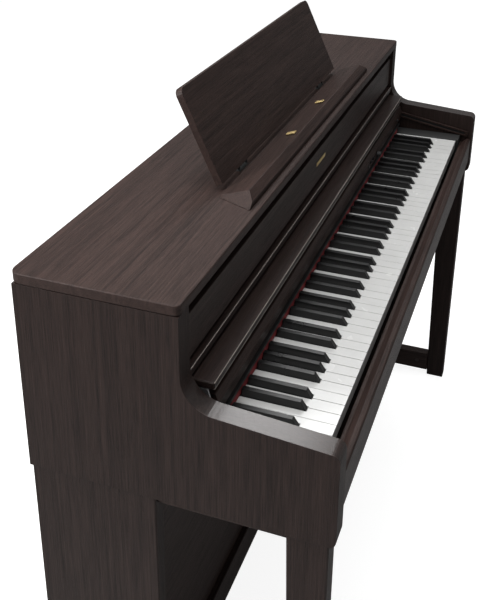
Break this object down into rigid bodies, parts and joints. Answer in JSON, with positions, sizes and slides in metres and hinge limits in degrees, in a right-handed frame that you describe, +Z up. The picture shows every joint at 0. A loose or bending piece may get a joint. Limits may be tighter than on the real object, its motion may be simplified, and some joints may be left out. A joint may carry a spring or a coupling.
{
  "type": "digital piano on stand",
  "caption": "Upright-style digital piano on its own wooden stand, with a sliding key cover, a folding music rest, hinged keys and foot pedals.",
  "frame": {"origin": "on the floor, at the middle of the piano's width and depth", "axes": "+X towards the treble end, -Y towards the player, +Z up"},
  "size_m": [1.377, 0.468, 1.1321],
  "materials": {
    "rosewood": "satin dark rosewood foil",
    "dark_wood": "dark matte foil",
    "white_key": "smooth off-white",
    "black_key": "satin black",
    "black_plastic": "matte black",
    "hammer_resin": "matte grey",
    "frame_plastic": "matte grey",
    "display_plastic": "smoked clear",
    "steel": "satin",
    "brass": "polished",
    "red_felt": "felt",
    "black_cloth": "woven",
    "circuit_board": "green lacquer"
  },
  "bodies": {
    "piano": {"back_panel": "dark_wood", "cheek_block_left": "black_plastic", "cheek_block_right": "black_plastic", "cover_rail_left": "black_plastic", "cover_rail_right": "black_plastic", "display_window": "display_plastic", "emblem_inlay": "brass", "foot_rail_left": "rosewood", "foot_rail_right": "rosewood", "front_leg_left": "rosewood", "front_leg_right": "rosewood", "headphone_box": "black_plastic", "key_frame": "frame_plastic", "key_slip": "rosewood", "keybed": "dark_wood", "kick_board": "rosewood", "main_board": "circuit_board", "music_ledge": "rosewood", "nameboard": "rosewood", "nameboard_felt": "red_felt", "nameboard_trim": "black_plastic", "panel_moulding": "rosewood", "pedal_bracket": "black_plastic", "plinth": "rosewood", "power_inlet": "black_plastic", "power_supply": "black_plastic", "side_board_left": "rosewood", "side_board_right": "rosewood", "side_panel_left": "rosewood", "side_panel_right": "rosewood", "sound_slot_cloth": "black_cloth", "speaker_left": "black_plastic", "speaker_right": "black_plastic", "top_lid": "rosewood", "top_rail_left": "rosewood", "top_rail_right": "rosewood", "upper_front_panel": "rosewood"},
    "key_cover": {"cover_front_board": "rosewood", "cover_rear_leaf": "dark_wood", "cover_arm_left": "steel", "cover_arm_right": "steel"},
    "white_keys_bass": {"white_keys_bass": "white_key"},
    "white_keys_middle": {"white_keys_middle": "white_key"},
    "white_keys_treble": {"white_keys_treble": "white_key"},
    "black_keys_bass": {"black_keys_bass": "black_key"},
    "black_keys_middle": {"black_keys_middle": "black_key"},
    "black_keys_treble": {"black_keys_treble": "black_key"},
    "hammers_bass": {"hammers_bass": "hammer_resin"},
    "hammers_middle": {"hammers_middle": "hammer_resin"},
    "hammers_treble": {"hammers_treble": "hammer_resin"},
    "music_rest": {"music_rest": "rosewood"},
    "page_holder_left": {"page_holder_left": "brass"},
    "page_holder_right": {"page_holder_right": "brass"},
    "volume_knob": {"volume_knob": "black_plastic"},
    "tone_button": {"tone_button": "black_plastic"},
    "power_button": {"power_button": "black_plastic"},
    "pedal_soft": {"pedal_soft": "brass"},
    "pedal_sostenuto": {"pedal_sostenuto": "brass"},
    "pedal_damper": {"pedal_damper": "brass"},
    "pedal_adjuster": {"pedal_adjuster": "black_plastic"}
  },
  "joints": [
    {"name": "key_cover_slide", "type": "slide", "parent": "piano", "child": "key_cover", "axis": [0, -0.9836, -0.1805], "range_m": [0, 0.165]},
    {"name": "white_keys_bass_press", "type": "hinge", "parent": "piano", "child": "white_keys_bass", "pos_m": [-0.423, 0.1015, 0.732], "axis": [1, 0, 0], "range_deg": [0, 1.9], "stiffness_Nm_per_rad": 70, "springref_deg": -5.73},
    {"name": "black_keys_bass_press", "type": "hinge", "parent": "piano", "child": "black_keys_bass", "pos_m": [-0.423, 0.1015, 0.732], "axis": [1, 0, 0], "range_deg": [0, 1.9], "stiffness_Nm_per_rad": 20, "springref_deg": -4.58},
    {"name": "white_keys_middle_press", "type": "hinge", "parent": "piano", "child": "white_keys_middle", "pos_m": [0.01175, 0.1015, 0.732], "axis": [1, 0, 0], "range_deg": [0, 1.9], "stiffness_Nm_per_rad": 90, "springref_deg": -5.73},
    {"name": "black_keys_middle_press", "type": "hinge", "parent": "piano", "child": "black_keys_middle", "pos_m": [0.01175, 0.1015, 0.732], "axis": [1, 0, 0], "range_deg": [0, 1.9], "stiffness_Nm_per_rad": 26, "springref_deg": -4.58},
    {"name": "white_keys_treble_press", "type": "hinge", "parent": "piano", "child": "white_keys_treble", "pos_m": [0.43475, 0.1015, 0.732], "axis": [1, 0, 0], "range_deg": [0, 1.9], "stiffness_Nm_per_rad": 60, "springref_deg": -5.73},
    {"name": "black_keys_treble_press", "type": "hinge", "parent": "piano", "child": "black_keys_treble", "pos_m": [0.43475, 0.1015, 0.732], "axis": [1, 0, 0], "range_deg": [0, 1.9], "stiffness_Nm_per_rad": 20, "springref_deg": -4.58},
    {"name": "hammers_bass_swing", "type": "hinge", "parent": "piano", "child": "hammers_bass", "pos_m": [-0.423, -0.038, 0.687], "axis": [1, 0, 0], "range_deg": [0, 8.9]},
    {"name": "hammers_middle_swing", "type": "hinge", "parent": "piano", "child": "hammers_middle", "pos_m": [0.01175, -0.038, 0.687], "axis": [1, 0, 0], "range_deg": [0, 8.9]},
    {"name": "hammers_treble_swing", "type": "hinge", "parent": "piano", "child": "hammers_treble", "pos_m": [0.43475, -0.038, 0.687], "axis": [1, 0, 0], "range_deg": [0, 8.9]},
    {"name": "music_rest_fold", "type": "hinge", "parent": "piano", "child": "music_rest", "pos_m": [0, 0.064, 0.9755], "axis": [1, 0, 0], "range_deg": [-65, 0]},
    {"name": "page_holder_left_flip", "type": "hinge", "parent": "piano", "child": "page_holder_left", "pos_m": [-0.095, 0.014, 0.98563], "axis": [1, 0, 0], "range_deg": [0, 80]},
    {"name": "page_holder_right_flip", "type": "hinge", "parent": "piano", "child": "page_holder_right", "pos_m": [0.095, 0.014, 0.98563], "axis": [1, 0, 0], "range_deg": [0, 80]},
    {"name": "volume_turn", "type": "hinge", "parent": "piano", "child": "volume_knob", "pos_m": [0.345, -0.0528, 0.787], "axis": [0, 1, 0], "range_deg": [-140, 140]},
    {"name": "tone_button_press", "type": "slide", "parent": "piano", "child": "tone_button", "axis": [0, 1, 0], "range_m": [0, 0.0012], "stiffness_N_per_m": 800, "springref_m": -0.001},
    {"name": "power_button_press", "type": "slide", "parent": "piano", "child": "power_button", "axis": [0, 1, 0], "range_m": [0, 0.0012], "stiffness_N_per_m": 800, "springref_m": -0.001},
    {"name": "pedal_soft_press", "type": "hinge", "parent": "piano", "child": "pedal_soft", "pos_m": [-0.08, 0.162, 0.084], "axis": [1, 0, 0], "range_deg": [0, 4.5], "stiffness_Nm_per_rad": 30, "springref_deg": -2.86},
    {"name": "pedal_sostenuto_press", "type": "hinge", "parent": "piano", "child": "pedal_sostenuto", "pos_m": [0, 0.162, 0.084], "axis": [1, 0, 0], "range_deg": [0, 4.5], "stiffness_Nm_per_rad": 30, "springref_deg": -2.86},
    {"name": "pedal_damper_press", "type": "hinge", "parent": "piano", "child": "pedal_damper", "pos_m": [0.08, 0.162, 0.084], "axis": [1, 0, 0], "range_deg": [0, 4.5], "stiffness_Nm_per_rad": 30, "springref_deg": -2.86},
    {"name": "pedal_adjuster_turn", "type": "hinge", "parent": "piano", "child": "pedal_adjuster", "pos_m": [0, 0.1533, 0], "axis": [0, 0, 1], "continuous": true}
  ],
  "couplings": [
    {"joint": "hammers_bass_swing", "follows": "white_keys_bass_press", "ratio": 4.671},
    {"joint": "hammers_middle_swing", "follows": "white_keys_middle_press", "ratio": 4.671},
    {"joint": "hammers_treble_swing", "follows": "white_keys_treble_press", "ratio": 4.671}
  ]
}
